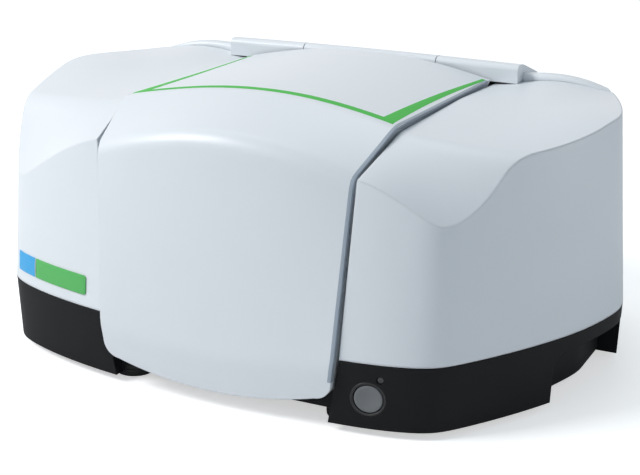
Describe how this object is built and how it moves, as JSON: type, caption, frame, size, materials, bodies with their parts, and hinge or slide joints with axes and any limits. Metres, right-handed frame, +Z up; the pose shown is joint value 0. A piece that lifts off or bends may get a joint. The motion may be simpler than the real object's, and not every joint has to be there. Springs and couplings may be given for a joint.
{
  "type": "fourier transform infrared spectrometer",
  "caption": "Benchtop infrared spectrometer: hinged sample lid between rounded covers on a dark base with side grips, push button and optics inside.",
  "frame": {"origin": "centre of the whole instrument's footprint, on the surface it stands on", "axes": "+X to the instrument's right seen from the front, +Y to its rear, +Z up"},
  "size_m": [0.4465, 0.3052, 0.2001],
  "materials": {
    "cover_white": "satin, very slightly blue white",
    "base_black": "fine grained near black",
    "green_trim": "satin green line",
    "marker_blue": "blank blue field",
    "marker_green": "blank green field",
    "black_rubber": "matt",
    "button_grey": "satin grey",
    "bezel_black": "satin black",
    "lamp_lens": "unlit smoked lens",
    "steel_screws": "bright",
    "cast_aluminium": "machined casting",
    "mirror_glass": "first surface coating",
    "window_glass": "polished crystal window",
    "bay_grey": "fine grained dark grey",
    "steel_parts": "machined",
    "board_green": "printed circuit board with its parts",
    "copper_coil": "wound copper",
    "magnet_nickel": "nickel plated",
    "source_ceramic": "ceramic",
    "cartridge_blue": "moulded cartridge",
    "card_white": "stiff card",
    "frame_grey": "moulded frame"
  },
  "bodies": {
    "instrument": {"base_tray": "base_black", "bay_windows": "window_glass", "beamsplitter": "window_glass", "bench_mounts": "black_rubber", "bench_screws": "steel_screws", "board_standoffs": "steel_parts", "button_bezel": "bezel_black", "cartridge_frame": "frame_grey", "cover_screws": "steel_screws", "data_sockets": "steel_parts", "desiccant_cartridges": "cartridge_blue", "detector_element": "window_glass", "detector_housing": "cast_aluminium", "detector_mirror": "mirror_glass", "drive_magnet": "magnet_nickel", "end_mirrors": "mirror_glass", "foot_screws": "steel_screws", "handle_liners": "base_black", "holder_base": "frame_grey", "ir_source": "source_ceramic", "laser_detector": "bezel_black", "laser_module": "bezel_black", "left_cover": "cover_white", "lid_buffers": "black_rubber", "lid_hinge_brackets": "steel_parts", "lid_hinge_pins": "steel_screws", "main_board": "board_green", "marker_plate_blue": "marker_blue", "marker_plate_green": "marker_green", "optics_bench": "cast_aluminium", "power_inlet": "bezel_black", "rear_cover": "cover_white", "rear_panel": "base_black", "right_cover": "cover_white", "rubber_feet": "black_rubber", "sample_bay": "bay_grey", "scan_bearing": "steel_parts", "source_housing": "cast_aluminium", "source_mirror": "mirror_glass", "splitter_mount": "cast_aluminium", "status_lamp": "lamp_lens", "steering_mirrors": "mirror_glass", "switch_board": "board_green", "wheel_motor": "bezel_black", "window_rings": "bezel_black"},
    "lid": {"sample_lid": "cover_white", "lid_trim": "green_trim", "lid_hinge_leaves": "steel_parts"},
    "hatch": {"desiccant_hatch": "cover_white"},
    "button": {"power_button": "button_grey"},
    "holder": {"sample_holder": "steel_parts", "sample_card": "card_white"},
    "scan": {"scan_table": "cast_aluminium", "scan_pivot": "steel_parts", "scan_mirrors": "mirror_glass", "drive_coil": "copper_coil"},
    "wheel": {"filter_wheel": "steel_parts", "wheel_filters": "window_glass", "wheel_shaft": "steel_parts"}
  },
  "joints": [
    {"name": "lid_hinge", "type": "hinge", "parent": "instrument", "child": "lid", "pos_m": [0, 0.0876, 0.1895], "axis": [-1, 0, 0], "range_deg": [0, 75]},
    {"name": "hatch_lift", "type": "slide", "parent": "instrument", "child": "hatch", "axis": [0, 0, 1], "range_m": [0, 0.03]},
    {"name": "button_press", "type": "slide", "parent": "instrument", "child": "button", "axis": [-0.1735, 0.984, 0.0404], "range_m": [0, 0.0015], "stiffness_N_per_m": 500, "springref_m": -0.001},
    {"name": "holder_slide", "type": "slide", "parent": "instrument", "child": "holder", "axis": [0, 1, 0], "range_m": [-0.025, 0.025]},
    {"name": "scan_turn", "type": "hinge", "parent": "instrument", "child": "scan", "pos_m": [0.148, 0.022, 0.09], "axis": [0, 0, 1], "range_deg": [-4, 4]},
    {"name": "wheel_turn", "type": "hinge", "parent": "instrument", "child": "wheel", "pos_m": [-0.106, 0.022, 0.112], "axis": [1, 0, 0], "continuous": true}
  ]
}
